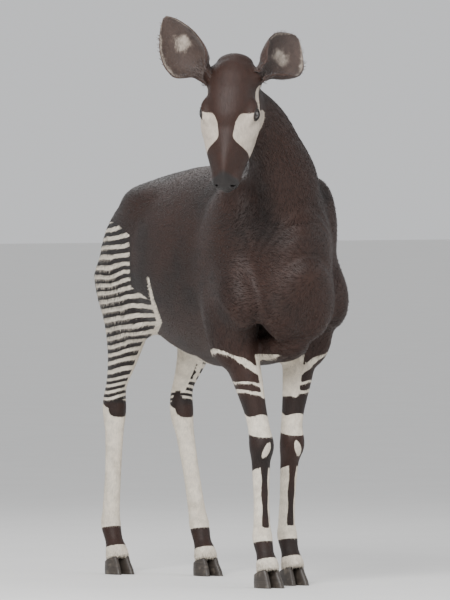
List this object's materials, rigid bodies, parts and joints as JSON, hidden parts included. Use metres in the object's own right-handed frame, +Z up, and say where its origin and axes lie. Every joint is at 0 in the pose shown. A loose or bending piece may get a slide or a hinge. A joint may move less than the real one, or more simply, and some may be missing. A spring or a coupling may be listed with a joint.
{
  "type": "okapi",
  "caption": "Life-size model of an adult female okapi standing square with her neck and head turned to her right, ears raised and tail hanging.",
  "frame": {"origin": "on the floor, at the centre of the bounding box seen from above", "axes": "+Z up, -Y the way her body faces, +X her left"},
  "size_m": [0.853, 1.667, 2.1266],
  "materials": {
    "coat": "short glossy hair",
    "coat_white": "short hair",
    "horn": "smooth horn",
    "eye": "wet gloss"
  },
  "bodies": {
    "root": {"torso": "coat", "foreleg_left": "coat_white", "hindleg_left": "coat_white", "hoof_fore_left_inner": "horn", "hoof_hind_left_inner": "horn", "hoof_fore_left_outer": "horn", "hoof_hind_left_outer": "horn", "foreleg_right": "coat_white", "hindleg_right": "coat_white", "hoof_fore_right_inner": "horn", "hoof_hind_right_inner": "horn", "hoof_fore_right_outer": "horn", "hoof_hind_right_outer": "horn", "neck": "coat", "head": "coat", "eye_left": "eye", "eye_right": "eye", "tail": "coat", "ear_right": "coat", "ear_left": "coat"}
  },
  "joints": []
}
